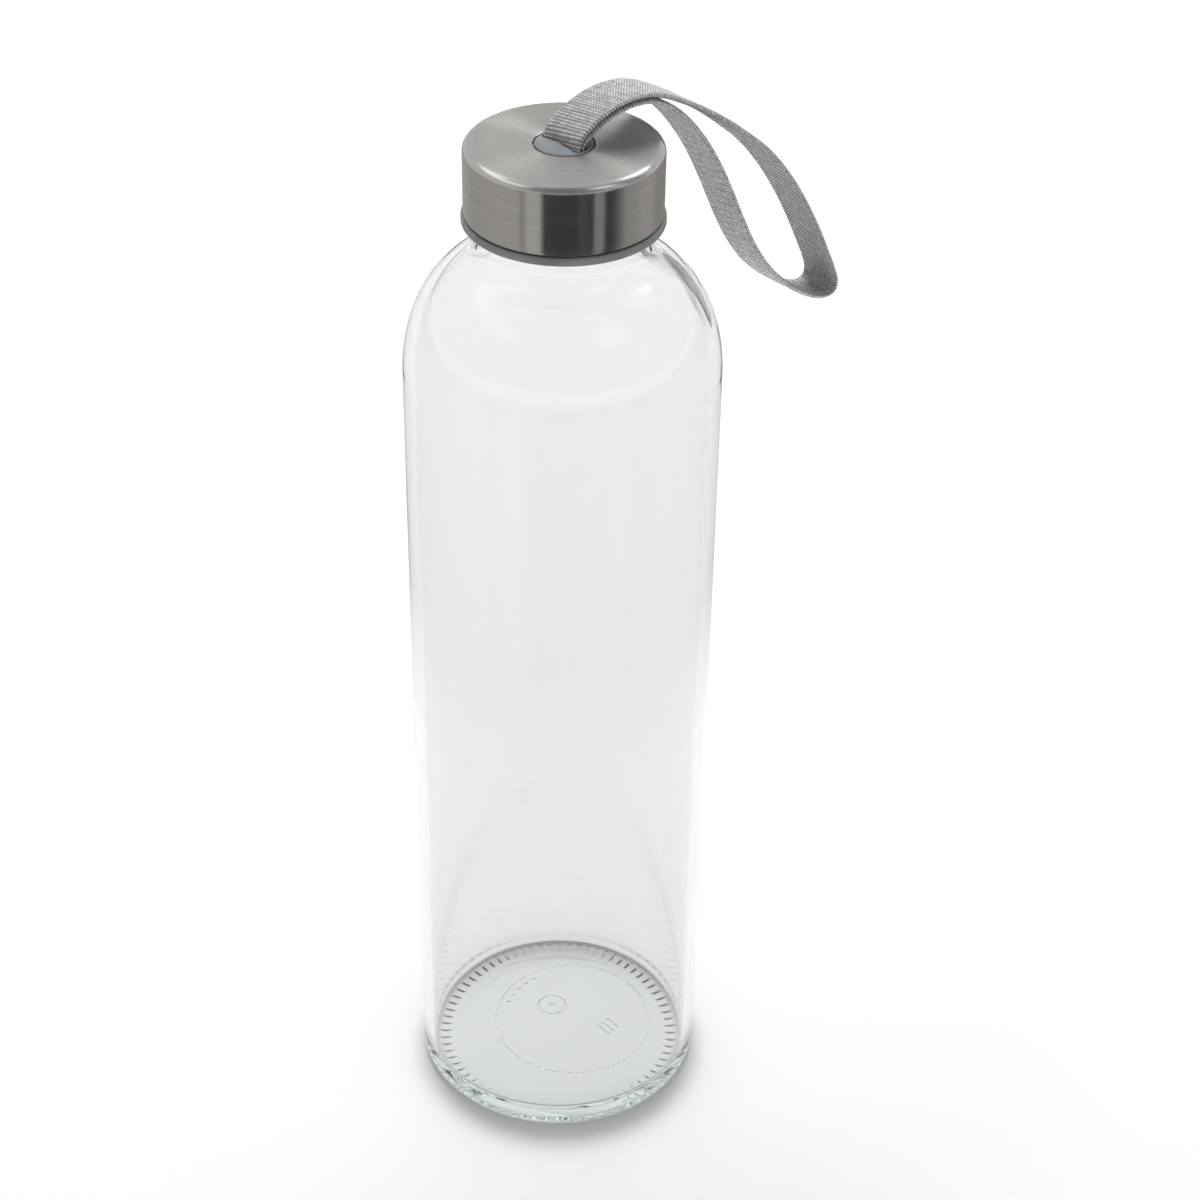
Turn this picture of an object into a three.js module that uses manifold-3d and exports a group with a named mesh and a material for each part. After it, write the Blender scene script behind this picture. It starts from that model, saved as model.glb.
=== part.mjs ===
// A glass drinking bottle with a threaded neck, a steel-covered screw cap and a carrying strap
// that is held in a swivelling button. Millimetres, +Z up, origin on the floor under the bottle's axis.
import * as THREE from 'three';
import { mergeVertices } from 'three/addons/utils/BufferGeometryUtils.js';
import Module from 'manifold-3d';

const wasm = await Module();
wasm.setup();

// ---- Driving dimensions ----

const touchGap = 0.3;            // left between pieces that rest on each other

// Glass bottle
const bodyRadius = 32.5;
const sideHeight = 185.5;        // floor to where the shoulder starts
const shoulderRise = 26.3;       // vertical half-axis of the shoulder's ellipse
const shoulderInset = 2.6;       // how far past the neck the ellipse's centre line lies
const shoulderEndAngle = 70;     // degrees of the ellipse before the fillet under the neck
const glassWall = 2.4;
const baseThickness = 3.2;       // glass between the push-up and the inner floor
const pushUpHeight = 1.4;
const heelRadius = 3;
const bearingRingWidth = 3.6;
const innerCornerRadius = 2.5;
const neckRadius = 16;
const neckHeight = 14.1;         // top of the neck's fillet to the rim
const lipRadius = 0.8;

// Screw thread, on the neck and in the cap
const threadPitch = 4.5;
const threadTurns = 1.25;
const threadHeight = 1.3;
const threadFlankGap = 0.6;      // axial, between the neck's ridge and the cap's at half height
const threadFlankRun = 0.65;     // ridge wider at its root and narrower at its crest by this much
const threadRunIn = 50;          // degrees over which each end tapers away
const threadEndShare = 0.12;     // of the full section, left at each tip
const threadTopDrop = 4;         // rim to the centre line of the glass thread's upper end
const threadClearance = 0.4;     // radial, crest to the wall that it faces
const threadLanding = 1.5;       // cap's lower edge to the centre line of its own thread

// Cap
const linerWall = 1.3;
const linerCeiling = 1.6;
const linerCornerRadius = 1.3;
const flangeHeight = 1.7;
const flangeOverhang = 0.45;     // flange beyond the steel
const capSkirt = 11.9;           // rim of the glass down to the liner's lower edge
const shellWall = 0.5;
const shellCornerRadius = 1.6;
const sealThickness = 1.4;
const sealLap = 0.6;             // seal beyond each side of the rim

// Strap and the button that holds it
const strapWidth = 10;
const strapThickness = 1;
const buttonRim = 0.28;          // button beyond the slot's corners
const buttonDome = 0.6;
const buttonFlangeWidth = 1.65;
const buttonFlangeHeight = 1.4;
const buttonHoleClearance = 0.3;
const slotSideClearance = 0.55;  // strap's two layers to each long side of the slot
const pinRadius = 1.1;
const pinDrop = 3.2;             // button's underside to the pin's axis
const pinOverhang = 0.2;         // pin shorter than the strap is wide, each end
const wellFloor = 1.4;
const wellClearance = 0.6;
const pivotRise = 0.4;           // strap's bending line above the button's dome

const turnSegments = 56;
const smallSegments = 32;
const pinSegments = 24;
const arcSteps = 4;

// ---- Sizes worked out from them ----

const radians = THREE.MathUtils.degToRad;

const shoulderReach = bodyRadius - neckRadius + shoulderInset;
const neckInnerRadius = neckRadius - glassWall;
const shoulderEnd = ellipsePoint(radians(shoulderEndAngle));
const neckFillet = (shoulderEnd.r - neckRadius) / (1 - shoulderEnd.nr);
const neckStart = shoulderEnd.z + neckFillet * shoulderEnd.nz;
const rimZ = neckStart + neckHeight;

const threadMidWidth = threadPitch / 2 - threadFlankGap;
const threadRootWidth = threadMidWidth + threadFlankRun;
const threadCrestWidth = threadMidWidth - threadFlankRun;

const linerBore = neckRadius + threadHeight + threadClearance;
const linerRadius = linerBore + linerWall;
const shellInnerRadius = linerRadius + touchGap;
const shellRadius = shellInnerRadius + shellWall;
const flangeRadius = shellRadius + flangeOverhang;
const capBottom = rimZ - capSkirt;
const shellBottom = capBottom + flangeHeight + touchGap;
const ceilingZ = rimZ + touchGap + sealThickness + touchGap;
const linerTop = ceilingZ + linerCeiling;
const shellInnerTop = linerTop + touchGap;
const capTop = shellInnerTop + shellWall;

const layerPitch = strapThickness + touchGap;
const slotWidth = layerPitch + strapThickness + 2 * slotSideClearance;
const slotLength = strapWidth + 2 * touchGap;
const buttonRadius = Math.hypot(slotLength / 2, slotWidth / 2) + buttonRim;
const flangeOuterRadius = buttonRadius + buttonFlangeWidth;
const flangeTop = shellInnerTop - touchGap;
const flangeBottom = flangeTop - buttonFlangeHeight;
const pocketRadius = flangeOuterRadius + wellClearance;
const pocketBottom = flangeBottom - touchGap;
const pinZ = flangeBottom - pinDrop;
const pinLength = strapWidth - 2 * pinOverhang;
const wrapRadius = pinRadius + touchGap + strapThickness / 2;
const wellRadius = Math.hypot(strapWidth / 2, wrapRadius + strapThickness / 2) + wellClearance;
const wellBottom = pinZ - wrapRadius - strapThickness / 2 - wellClearance;
const holeRadius = buttonRadius + buttonHoleClearance;

const domeTop = capTop + buttonDome;
const pivotZ = domeTop + pivotRise;
const loopStart = 0.4;           // bending line to the free loop's first section
const rootTop = pivotZ - Math.hypot(loopStart, layerPitch / 2 + strapThickness / 2) - touchGap;

// The free loop's route, chosen by hand: [out from the button's axis, up from the cap's top face].
// It leaves the button doubled, parts past the cap's edge, and folds back low at its far end.
const loopRoute = [
  [-0.1, 1.76], [3.3, 4.15], [6.9, 5.65], [10.6, 6.4], [14.4, 6.55], [18.3, 6.05], [22.6, 4.6],
  [27.6, 2.1], [33.4, -1.0], [40, -5.1], [47, -10.1], [53.4, -15.8], [59, -22], [64.2, -29.2],
  [69, -37.4], [73, -45.1], [75.9, -51.6], [77.1, -55.4], [76.5, -57.9], [74, -58.6], [70, -57.1],
  [62.8, -52], [55.9, -45.5], [50.6, -38.4], [46.3, -30.6], [42.3, -22.4], [38, -14.4],
  [33.2, -7.3], [28.2, -1.6], [23.2, 2.5], [18.6, 4.65], [14.5, 5.25], [10.8, 5.05], [7.4, 4.4],
  [4.1, 3.0], [0.7, 0.74],
];

// ---- Shape helpers ----

// A point of the shoulder's ellipse and its outward normal, angle 0 at the side wall.
function ellipsePoint(angle) {
  const across = shoulderReach * Math.sin(angle);
  const up = shoulderRise * Math.cos(angle);
  const length = Math.hypot(across, up);
  return {
    r: bodyRadius - shoulderReach * (1 - Math.cos(angle)),
    z: sideHeight + shoulderRise * Math.sin(angle),
    nr: up / length,
    nz: across / length,
  };
}

// Points of an arc in the half plane of radius and height, angles in degrees from +radius.
function arc(centreR, centreZ, radius, fromAngle, toAngle, steps = arcSteps) {
  return Array.from({ length: steps + 1 }, (_, i) => {
    const angle = radians(fromAngle + (toAngle - fromAngle) * i / steps);
    return [centreR + radius * Math.cos(angle), centreZ + radius * Math.sin(angle)];
  });
}

// A position-only copy with shared corners and no collapsed triangles, faces pointing out.
function cleaned(geometry) {
  const bare = geometry.clone();
  bare.deleteAttribute('normal');
  bare.deleteAttribute('uv');
  const merged = mergeVertices(bare, 1e-4);
  const { array } = merged.index;
  const position = merged.attributes.position;
  const corner = (i) => new THREE.Vector3().fromBufferAttribute(position, i);
  const faces = [];
  let volume = 0;
  for (let i = 0; i < array.length; i += 3) {
    const [a, b, c] = array.slice(i, i + 3);
    if (a === b || b === c || c === a) continue;
    faces.push([a, b, c]);
    volume += corner(a).dot(corner(b).cross(corner(c)));
  }
  const out = volume < 0 ? faces.map(([a, b, c]) => [a, c, b]) : faces;
  merged.setIndex(out.flat());
  return merged;
}

function toSolid(geometry) {
  const clean = cleaned(geometry);
  return new wasm.Manifold(new wasm.Mesh({
    numProp: 3,
    vertProperties: new Float32Array(clean.attributes.position.array),
    triVerts: new Uint32Array(clean.index.array),
  }));
}

function fromSolid(solid) {
  const { vertProperties, triVerts } = solid.getMesh();
  const geometry = new THREE.BufferGeometry();
  geometry.setAttribute('position', new THREE.BufferAttribute(vertProperties, 3));
  geometry.setIndex(new THREE.BufferAttribute(triVerts, 1));
  geometry.computeVertexNormals();
  return geometry;
}

// Turns an outline of [radius, height] points about the Z axis.
function turned(outline, segments = turnSegments) {
  const points = outline.map(([r, z]) => new THREE.Vector2(Math.max(r, 0), z));
  return new THREE.LatheGeometry(points, segments).rotateX(Math.PI / 2);
}

// Closes an outline on itself, for a ring.
const closed = (outline) => [...outline, outline[0]];

// One thread ridge on a wall: a straight bar whose section is wrapped round the axis.
// side is 1 for a ridge that stands outwards from the wall, -1 for one that stands inwards.
function threadRidge({ wallRadius, side, startAngle, startZ }) {
  const sunk = 0.4;
  const stepsPerTurn = 28;
  const steps = Math.round(threadTurns * stepsPerTurn);
  const section = new THREE.Shape([
    new THREE.Vector2(-sunk, -threadRootWidth / 2),
    new THREE.Vector2(0, -threadRootWidth / 2),
    new THREE.Vector2(threadHeight, -threadCrestWidth / 2),
    new THREE.Vector2(threadHeight, threadCrestWidth / 2),
    new THREE.Vector2(0, threadRootWidth / 2),
    new THREE.Vector2(-sunk, threadRootWidth / 2),
  ]);
  const bar = new THREE.ExtrudeGeometry(section, { depth: threadTurns, steps, bevelEnabled: false });
  const position = bar.attributes.position;
  for (let i = 0; i < position.count; i += 1) {
    const turn = position.getZ(i);
    const fromEnd = Math.min(turn, threadTurns - turn) * 360 / threadRunIn;
    const taper = THREE.MathUtils.lerp(threadEndShare, 1, THREE.MathUtils.smoothstep(fromEnd, 0, 1));
    const out = position.getX(i);
    const radius = wallRadius + side * (out > 0 ? out * taper : out);
    const angle = radians(startAngle) + turn * 2 * Math.PI;
    position.setXYZ(
      i,
      radius * Math.cos(angle),
      radius * Math.sin(angle),
      startZ + turn * threadPitch + position.getY(i) * taper,
    );
  }
  return bar;
}

// The strap's woven band: a flat section with eased corners, swept along a route of [x, z] points.
function webbing(route, steps) {
  const ease = strapThickness * 0.3;
  const halfWide = strapWidth / 2;
  const halfThick = strapThickness / 2;
  const section = new THREE.Shape([
    new THREE.Vector2(-halfWide + ease, -halfThick),
    new THREE.Vector2(halfWide - ease, -halfThick),
    new THREE.Vector2(halfWide, -halfThick + ease),
    new THREE.Vector2(halfWide, halfThick - ease),
    new THREE.Vector2(halfWide - ease, halfThick),
    new THREE.Vector2(-halfWide + ease, halfThick),
    new THREE.Vector2(-halfWide, halfThick - ease),
    new THREE.Vector2(-halfWide, -halfThick + ease),
  ]);
  const curve = new THREE.CatmullRomCurve3(
    route.map(([x, z]) => new THREE.Vector3(x, 0, z)), false, 'centripetal');
  return new THREE.ExtrudeGeometry(section, { steps, extrudePath: curve });
}

// ---- The pieces ----

function bottleGeometry() {
  const ringOuter = bodyRadius - heelRadius;
  const ringInner = ringOuter - bearingRingWidth;
  const pushUpEdge = ringInner - bearingRingWidth;
  const floorZ = pushUpHeight + baseThickness;
  const innerRadius = bodyRadius - glassWall;
  const shoulder = Array.from({ length: 9 }, (_, i) => ellipsePoint(radians(shoulderEndAngle * i / 8)));
  const filletAngle = THREE.MathUtils.radToDeg(Math.atan2(shoulderEnd.nz, shoulderEnd.nr));
  const filletR = neckRadius + neckFillet;
  const outer = [
    [0, pushUpHeight],                        // the push-up: nearly flat, then down to the bearing ring
    [pushUpEdge * 0.6, pushUpHeight * 0.8],
    [pushUpEdge, pushUpHeight * 0.4],
    [ringInner, 0],
    ...arc(ringOuter, heelRadius, heelRadius, -90, 0),
    ...shoulder.map(({ r, z }) => [r, z]),
    ...arc(filletR, neckStart, neckFillet, 180 + filletAngle, 180).slice(1),
    ...arc(neckRadius - lipRadius, rimZ - lipRadius, lipRadius, 0, 90, 3),
  ];
  const inner = [
    ...arc(neckInnerRadius + lipRadius, rimZ - lipRadius, lipRadius, 90, 180, 3),
    ...arc(filletR, neckStart, neckFillet + glassWall, 180, 180 + filletAngle),
    ...shoulder.map(({ r, z, nr, nz }) => [r - glassWall * nr, z - glassWall * nz]).reverse().slice(1),
    ...arc(innerRadius - innerCornerRadius, floorZ + innerCornerRadius, innerCornerRadius, 0, -90),
    [0, floorZ],
  ];
  const blank = toSolid(turned([...outer, ...inner]));
  const ridge = threadRidge({
    wallRadius: neckRadius, side: 1, startAngle: 0, startZ: rimZ - threadTopDrop - threadTurns * threadPitch,
  });
  return fromSolid(blank.add(toSolid(ridge)));
}

function sealGeometry() {
  const low = rimZ + touchGap;
  const high = low + sealThickness;
  const innerEdge = neckInnerRadius - sealLap;
  const outerEdge = neckRadius + sealLap;
  return turned(closed([[innerEdge, low], [outerEdge, low], [outerEdge, high], [innerEdge, high]]));
}

function linerGeometry() {
  const wellOuter = pocketRadius + linerWall;
  const wellUnderside = wellBottom - wellFloor;
  const cornerR = linerRadius - linerCornerRadius;
  const body = turned([
    [0, wellUnderside],
    [wellOuter, wellUnderside],
    [wellOuter, ceilingZ],
    [linerBore, ceilingZ],
    [linerBore, capBottom],
    [flangeRadius - touchGap, capBottom],
    [flangeRadius, capBottom + touchGap],
    [flangeRadius, capBottom + flangeHeight],
    [linerRadius, capBottom + flangeHeight],
    ...arc(cornerR, linerTop - linerCornerRadius, linerCornerRadius, 0, 90, 4),
    [pocketRadius, linerTop],
    [pocketRadius, pocketBottom],
    [wellRadius, pocketBottom],
    [wellRadius, wellBottom],
    [0, wellBottom],
  ]);
  // The cap's ridge lies half a pitch under the neck's, so that closing it draws the cap down.
  const glassStart = rimZ - threadTopDrop - threadTurns * threadPitch;
  const startZ = capBottom + threadLanding;
  const startAngle = (startZ - glassStart + threadPitch / 2) / threadPitch * 360;
  const ridge = threadRidge({ wallRadius: linerBore, side: -1, startAngle, startZ });
  return fromSolid(toSolid(body).add(toSolid(ridge)));
}

function shellGeometry() {
  const outerCornerR = shellRadius - shellCornerRadius;
  const innerCorner = shellCornerRadius - shellWall;
  return turned(closed([
    [shellInnerRadius, shellBottom],
    [shellRadius, shellBottom],
    ...arc(outerCornerR, capTop - shellCornerRadius, shellCornerRadius, 0, 90),
    [holeRadius, capTop],
    [holeRadius, shellInnerTop],
    ...arc(outerCornerR, capTop - shellCornerRadius, innerCorner, 90, 0),
  ]));
}

function buttonGeometry() {
  const domeRadius = (buttonRadius ** 2 + buttonDome ** 2) / (2 * buttonDome);
  const edgeAngle = THREE.MathUtils.radToDeg(Math.acos(buttonRadius / domeRadius));
  const disc = turned([
    [0, flangeBottom],
    [flangeOuterRadius, flangeBottom],
    [flangeOuterRadius, flangeTop],
    [buttonRadius, flangeTop],
    ...arc(0, domeTop - domeRadius, domeRadius, edgeAngle, 90, 5),
  ], smallSegments);
  const height = 3 * (domeTop - flangeBottom);
  const slot = new THREE.BoxGeometry(slotWidth, slotLength, height).translate(0, 0, domeTop);
  return fromSolid(toSolid(disc).subtract(toSolid(slot)));
}

function pinGeometry() {
  return new THREE.CylinderGeometry(pinRadius, pinRadius, pinLength, pinSegments).translate(0, 0, pinZ);
}

// The strap's inner bend: down one side of the slot, round the pin and up the other side.
function strapRootGeometry() {
  const straightTop = flangeBottom;
  const side = layerPitch / 2;
  const wrap = arc(0, pinZ, wrapRadius, 160, 380, 12);
  const route = [
    [-side, rootTop], [-side, (rootTop + straightTop) / 2], [-side, straightTop],
    ...wrap,
    [side, straightTop], [side, (rootTop + straightTop) / 2], [side, rootTop],
  ];
  return webbing(route, 40);
}

function strapLoopGeometry() {
  return webbing(loopRoute.map(([x, up]) => [x, capTop + up]), 78);
}

// ---- Finishes ----

const finish = (color, roughness, metalness = 0) =>
  new THREE.MeshStandardMaterial({ color, roughness, metalness });

function clearGlass() {
  const glass = finish(0xe4e9e7, 0.03);
  glass.transparent = true;
  glass.opacity = 0.3;
  return glass;
}

function piece(name, geometry, material) {
  const mesh = new THREE.Mesh(cleaned(geometry), material);
  mesh.name = name;
  return mesh;
}

const bottle = new THREE.Group();
bottle.add(
  piece('glass_bottle', bottleGeometry(), clearGlass()),
  piece('seal_ring', sealGeometry(), finish(0xe9e9e4, 0.55)),
);

const cap = new THREE.Group();
cap.add(
  piece('cap_liner', linerGeometry(), finish(0x7f8587, 0.5)),
  piece('cap_shell', shellGeometry(), finish(0xa6a19b, 0.32, 1)),
);

const carrier = new THREE.Group();
carrier.add(
  piece('strap_button', buttonGeometry(), finish(0x84898b, 0.45)),
  piece('strap_pin', pinGeometry(), finish(0xb8b8b6, 0.35, 1)),
  piece('strap_root', strapRootGeometry(), finish(0xa3a4a5, 0.8)),
  piece('strap_loop', strapLoopGeometry(), finish(0xa3a4a5, 0.8)),
);
cap.add(carrier);
bottle.add(cap);

export default bottle;
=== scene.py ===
import math
import bpy
from mathutils import Matrix, Vector


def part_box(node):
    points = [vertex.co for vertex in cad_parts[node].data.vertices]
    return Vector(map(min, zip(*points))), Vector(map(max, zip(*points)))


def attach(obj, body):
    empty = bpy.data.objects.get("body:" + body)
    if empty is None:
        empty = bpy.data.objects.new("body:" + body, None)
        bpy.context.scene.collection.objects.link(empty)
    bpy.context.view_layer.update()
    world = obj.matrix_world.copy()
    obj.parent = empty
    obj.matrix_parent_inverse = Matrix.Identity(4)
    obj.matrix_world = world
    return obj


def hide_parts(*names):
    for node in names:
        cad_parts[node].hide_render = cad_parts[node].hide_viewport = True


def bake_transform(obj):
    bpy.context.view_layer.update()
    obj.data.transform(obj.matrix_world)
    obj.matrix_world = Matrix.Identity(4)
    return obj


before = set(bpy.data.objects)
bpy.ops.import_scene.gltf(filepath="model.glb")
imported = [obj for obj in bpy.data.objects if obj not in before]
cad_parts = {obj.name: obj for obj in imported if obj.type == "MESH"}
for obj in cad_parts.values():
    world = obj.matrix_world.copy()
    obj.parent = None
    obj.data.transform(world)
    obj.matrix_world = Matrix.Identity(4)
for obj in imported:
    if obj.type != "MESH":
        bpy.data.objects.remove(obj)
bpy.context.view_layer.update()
mm = 0.001
print("frame loaded:", len(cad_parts), "CAD nodes")

bottleLow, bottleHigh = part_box("glass_bottle")
sealLow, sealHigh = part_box("seal_ring")
linerLow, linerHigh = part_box("cap_liner")
shellLow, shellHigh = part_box("cap_shell")
buttonLow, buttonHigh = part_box("strap_button")
pinLow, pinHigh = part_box("strap_pin")
rimZ = bottleHigh.z
capTop = shellHigh.z


# Shaping helpers

def clearSelection():
    active = bpy.context.view_layer.objects.active
    if active and active.mode != "OBJECT":
        bpy.ops.object.mode_set(mode="OBJECT")
    bpy.ops.object.select_all(action="DESELECT")


def pick(piece):
    clearSelection()
    piece.select_set(True)
    bpy.context.view_layer.objects.active = piece


def arcPoints(centreR, centreZ, radius, fromAngle, toAngle, steps):
    points = []
    for i in range(steps + 1):
        angle = math.radians(fromAngle + (toAngle - fromAngle) * i / steps)
        points.append((centreR + radius * math.cos(angle), centreZ + radius * math.sin(angle)))
    return points


def linePoints(start, end, step):  # evenly spaced points after start, up to and including end
    count = max(1, round(math.dist(start, end) / step))
    return [(start[0] + (end[0] - start[0]) * i / count,
             start[1] + (end[1] - start[1]) * i / count) for i in range(1, count + 1)]


def turnedPiece(name, outline, steps):  # outline holds (radius, height) in metres
    clearSelection()
    bpy.ops.mesh.primitive_plane_add(size=mm, location=(0, 0, 0))
    piece = bpy.context.object
    piece.name = name
    bpy.ops.object.mode_set(mode="EDIT")
    bpy.ops.mesh.select_all(action="SELECT")
    bpy.ops.mesh.merge(type="CENTER")
    bpy.ops.transform.translate(value=(outline[0][0], 0, outline[0][1]))
    for (r0, z0), (r1, z1) in zip(outline, outline[1:]):
        bpy.ops.mesh.extrude_vertices_move(TRANSFORM_OT_translate={"value": (r1 - r0, 0, z1 - z0)})
    bpy.ops.mesh.select_all(action="SELECT")
    bpy.ops.mesh.spin(steps=steps, angle=math.tau, center=(0, 0, 0), axis=(0, 0, 1))
    bpy.ops.mesh.select_all(action="SELECT")
    bpy.ops.mesh.remove_doubles(threshold=2e-6)
    bpy.ops.mesh.normals_make_consistent(inside=False)
    bpy.ops.object.mode_set(mode="OBJECT")
    return piece


def applyModifier(piece, kind, **settings):
    pick(piece)
    modifier = piece.modifiers.new(kind.title(), kind)
    for key, value in settings.items():
        setattr(modifier, key, value)
    bpy.ops.object.modifier_apply(modifier=modifier.name)


def pushOut(piece, name, distance, weightOf):  # moves the surface along its normal, by a weight at each point
    group = piece.vertex_groups.new(name=name)
    for vertex in piece.data.vertices:
        weight = weightOf(*vertex.co)
        if weight > 0:
            group.add([vertex.index], min(weight, 1), "REPLACE")
    applyModifier(piece, "DISPLACE", strength=distance, mid_level=0, direction="NORMAL", vertex_group=name)
    piece.vertex_groups.remove(piece.vertex_groups[name])


def smoothShade(piece, angle):
    pick(piece)
    bpy.ops.object.shade_smooth_by_angle(angle=math.radians(angle))


def ease(x, low, high):  # 0 below low, 1 above high, smooth between
    t = min(max((x - low) / (high - low), 0), 1)
    return t * t * (3 - 2 * t)


def setOn(piece, material, body, slotName, *nodes):
    piece.data.materials.clear()
    piece.data.materials.append(material)
    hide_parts(*nodes)
    if body:
        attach(piece, body)


# Material helpers

def newMaterial(name):
    material = bpy.data.materials.new(name)
    material.use_nodes = True
    material.node_tree.nodes.clear()
    return material, material.node_tree


def addNode(tree, kind, **values):
    node = tree.nodes.new(kind)
    for key, value in values.items():
        setattr(node, key, value)
    return node


def setInputs(node, **values):  # underscores in a name stand for spaces
    for key, value in values.items():
        node.inputs[key.replace("_", " ")].default_value = value
    return node


def link(tree, source, target):
    tree.links.new(source, target)


def shadedMaterial(name):  # a material with one surface shader
    material, tree = newMaterial(name)
    shader = addNode(tree, "ShaderNodeBsdfPrincipled")
    link(tree, shader.outputs[0], addNode(tree, "ShaderNodeOutputMaterial").inputs["Surface"])
    return material, tree, shader


def addBump(tree, shader, height, strength, depth):
    bump = addNode(tree, "ShaderNodeBump")
    setInputs(bump, Strength=strength, Distance=depth)
    link(tree, height, bump.inputs["Height"])
    link(tree, bump.outputs[0], shader.inputs["Normal"])


def mathNode(tree, operation, first, second=None):
    node = addNode(tree, "ShaderNodeMath", operation=operation)
    for socket, value in zip(node.inputs, (first, second)):
        if value is None:
            continue
        if isinstance(value, (int, float)):
            socket.default_value = value
        else:
            link(tree, value, socket)
    return node.outputs[0]


def rangeNode(tree, value, low, high, toLow, toHigh, smooth=False):
    node = addNode(tree, "ShaderNodeMapRange")
    if smooth:
        node.interpolation_type = "SMOOTHSTEP"
    setInputs(node, From_Min=low, From_Max=high, To_Min=toLow, To_Max=toHigh)
    link(tree, value, node.inputs["Value"])
    return node.outputs["Result"]


def mixColour(tree, factor, first, second):
    node = addNode(tree, "ShaderNodeMix", data_type="RGBA")
    for socket, value in ((node.inputs[0], factor), (node.inputs[6], first), (node.inputs[7], second)):
        if isinstance(value, (int, float, tuple)):
            socket.default_value = value
        else:
            link(tree, value, socket)
    return node.outputs[2]


def noiseNode(tree, vector, scale, detail, roughness):
    node = addNode(tree, "ShaderNodeTexNoise")
    setInputs(node, Scale=scale, Detail=detail, Roughness=roughness)
    link(tree, vector, node.inputs["Vector"])
    return node.outputs["Fac"]


def stretchedNoise(tree, across, along, scales, detail, roughness):
    join = addNode(tree, "ShaderNodeCombineXYZ")
    link(tree, mathNode(tree, "MULTIPLY", across, scales[0]), join.inputs[0])
    link(tree, mathNode(tree, "MULTIPLY", along, scales[1]), join.inputs[1])
    return noiseNode(tree, join.outputs[0], 1.0, detail, roughness)


def newGroup(name, inputs, outputs):
    group = bpy.data.node_groups.new(name, "ShaderNodeTree")
    for label, kind, default in inputs:
        socket = group.interface.new_socket(label, in_out="INPUT", socket_type=kind)
        if default is not None:
            socket.default_value = default
    for label, kind in outputs:
        group.interface.new_socket(label, in_out="OUTPUT", socket_type=kind)
    return group, addNode(group, "NodeGroupInput"), addNode(group, "NodeGroupOutput")


def placeGroup(tree, group, vector, **values):
    node = addNode(tree, "ShaderNodeGroup")
    node.node_tree = group
    link(tree, vector, node.inputs["Vector"])
    return setInputs(node, **values)


toMillimetres = 1000

# Circular brush lines: fine scratches that run round the axis, on a flat top and on a side wall alike.
brushedLines, lineIn, lineOut = newGroup(
    "brushedLines",
    [("Vector", "NodeSocketVector", None), ("Lines", "NodeSocketFloat", 9.0),
     ("Stretch", "NodeSocketFloat", 6.0)],
    [("Fine", "NodeSocketFloat"), ("Coarse", "NodeSocketFloat")])
lineSplit = addNode(brushedLines, "ShaderNodeSeparateXYZ")
link(brushedLines, lineIn.outputs["Vector"], lineSplit.inputs[0])
lineAngle = mathNode(brushedLines, "ARCTAN2", lineSplit.outputs["Y"], lineSplit.outputs["X"])
lineRadius = mathNode(brushedLines, "SQRT", mathNode(
    brushedLines, "ADD",
    mathNode(brushedLines, "MULTIPLY", lineSplit.outputs["X"], lineSplit.outputs["X"]),
    mathNode(brushedLines, "MULTIPLY", lineSplit.outputs["Y"], lineSplit.outputs["Y"])))
lineAcross = mathNode(brushedLines, "SUBTRACT", lineRadius, lineSplit.outputs["Z"])
lineAcross = mathNode(brushedLines, "MULTIPLY", lineAcross, toMillimetres)
lineAcross = mathNode(brushedLines, "MULTIPLY", lineAcross, lineIn.outputs["Lines"])
lineCos = mathNode(brushedLines, "COSINE", lineAngle)
lineCos = mathNode(brushedLines, "MULTIPLY", lineCos, lineIn.outputs["Stretch"])
lineSin = mathNode(brushedLines, "SINE", lineAngle)
lineSin = mathNode(brushedLines, "MULTIPLY", lineSin, lineIn.outputs["Stretch"])
lineJoin = addNode(brushedLines, "ShaderNodeCombineXYZ")
for value, socket in zip((lineAcross, lineCos, lineSin), lineJoin.inputs):
    link(brushedLines, value, socket)
link(brushedLines, noiseNode(brushedLines, lineJoin.outputs[0], 1.0, 3, 0.6), lineOut.inputs["Fine"])
link(brushedLines, noiseNode(brushedLines, lineJoin.outputs[0], 0.13, 2, 0.5), lineOut.inputs["Coarse"])

# Moulded grain: the fine skin of a plastic or rubber part, with slow patches of more and less gloss.
mouldGrain, grainIn, grainOut = newGroup(
    "mouldGrain",
    [("Vector", "NodeSocketVector", None), ("Grain", "NodeSocketFloat", 5.0),
     ("Patch", "NodeSocketFloat", 0.25)],
    [("Height", "NodeSocketFloat"), ("Patches", "NodeSocketFloat")])
grainScale = addNode(mouldGrain, "ShaderNodeVectorMath", operation="SCALE")
grainScale.inputs["Scale"].default_value = toMillimetres
link(mouldGrain, grainIn.outputs["Vector"], grainScale.inputs[0])
grainFine = addNode(mouldGrain, "ShaderNodeTexNoise")
grainPatch = addNode(mouldGrain, "ShaderNodeTexNoise")
for node, size, result in ((grainFine, "Grain", "Height"), (grainPatch, "Patch", "Patches")):
    link(mouldGrain, grainScale.outputs[0], node.inputs["Vector"])
    link(mouldGrain, grainIn.outputs[size], node.inputs["Scale"])
    link(mouldGrain, node.outputs["Fac"], grainOut.inputs[result])

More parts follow.
